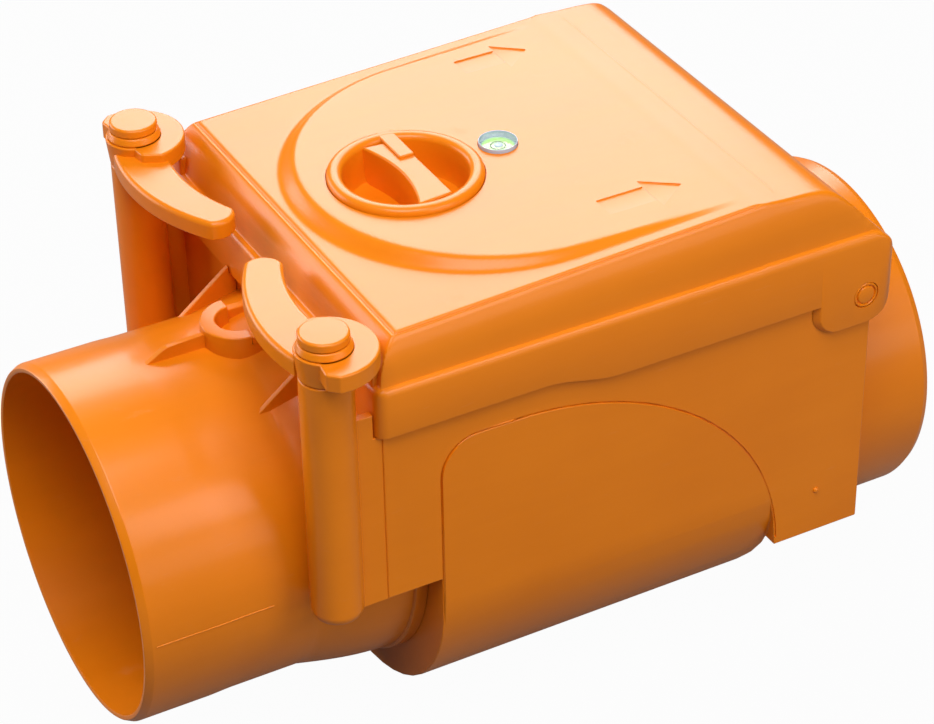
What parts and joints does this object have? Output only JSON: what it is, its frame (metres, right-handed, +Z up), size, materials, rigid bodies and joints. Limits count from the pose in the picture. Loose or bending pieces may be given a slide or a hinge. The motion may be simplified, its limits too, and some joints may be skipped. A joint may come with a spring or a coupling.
{
  "type": "backwater valve",
  "caption": "Inline drain backwater valve: moulded chamber with inlet and outlet spigots, hinged lid with swing latches, hanging flap, lock knob and bubble level.",
  "frame": {"origin": "on the ground plane under the middle of the overall bounding box, at the sump's flat underside", "axes": "+X along the flow from inlet to outlet, +Z up, +Y across to the far side of the view in the picture"},
  "size_m": [0.389, 0.23, 0.2321],
  "materials": {
    "orange_plastic": "satin moulded",
    "inner_plastic": "moulded",
    "black_rubber": "matte",
    "stainless_steel": "turned",
    "white_plastic": "satin",
    "level_liquid": "clear green liquid",
    "clear_lens": "polished"
  },
  "bodies": {
    "valve_body": {"housing": "orange_plastic", "inlet_spigot": "orange_plastic", "outlet_spigot": "orange_plastic", "seat_ring": "inner_plastic", "seat_gasket": "black_rubber", "seat_screw_1": "stainless_steel", "seat_screw_2": "stainless_steel", "seat_screw_3": "stainless_steel", "seat_screw_4": "stainless_steel", "flap_hinge_pin": "stainless_steel", "flap_pin_clip_near": "stainless_steel", "flap_pin_clip_far": "stainless_steel", "lid_gasket": "black_rubber", "hinge_pin_near": "orange_plastic", "hinge_pin_far": "orange_plastic", "latch_bolt_near": "orange_plastic", "latch_bolt_far": "orange_plastic", "latch_washer_near": "orange_plastic", "latch_washer_far": "orange_plastic", "latch_post_near": "orange_plastic", "latch_post_far": "orange_plastic", "support_rib_near": "orange_plastic", "support_rib_far": "orange_plastic", "pipe_collar": "orange_plastic"},
    "lid": {"lid": "orange_plastic", "level_cup": "white_plastic", "level_vial": "level_liquid", "level_lens": "clear_lens"},
    "lock": {"lock_knob": "orange_plastic", "lock_spindle": "orange_plastic", "lock_cam": "orange_plastic", "cam_screw": "stainless_steel", "knob_o_ring": "black_rubber"},
    "flap": {"flap": "inner_plastic", "flap_seal": "black_rubber"},
    "latch_near": {"latch_lever_near": "orange_plastic"},
    "latch_far": {"latch_lever_far": "orange_plastic"}
  },
  "joints": [
    {"name": "lid_hinge", "type": "hinge", "parent": "valve_body", "child": "lid", "pos_m": [0.1375, 0, 0.171], "axis": [0, 1, 0], "range_deg": [0, 70]},
    {"name": "lock_turn", "type": "hinge", "parent": "lid", "child": "lock", "pos_m": [-0.0295, 0, 0.22627], "axis": [0, 0, -1], "range_deg": [-90, 0]},
    {"name": "flap_swing", "type": "hinge", "parent": "valve_body", "child": "flap", "pos_m": [-0.0518, 0, 0.18], "axis": [0, -1, 0], "range_deg": [0, 65]},
    {"name": "latch_near_swing", "type": "hinge", "parent": "valve_body", "child": "latch_near", "pos_m": [-0.1138, -0.0932, 0.212], "axis": [0, 0, 1], "range_deg": [0, 145]},
    {"name": "latch_far_swing", "type": "hinge", "parent": "valve_body", "child": "latch_far", "pos_m": [-0.1138, 0.0932, 0.212], "axis": [0, 0, -1], "range_deg": [0, 145]}
  ]
}
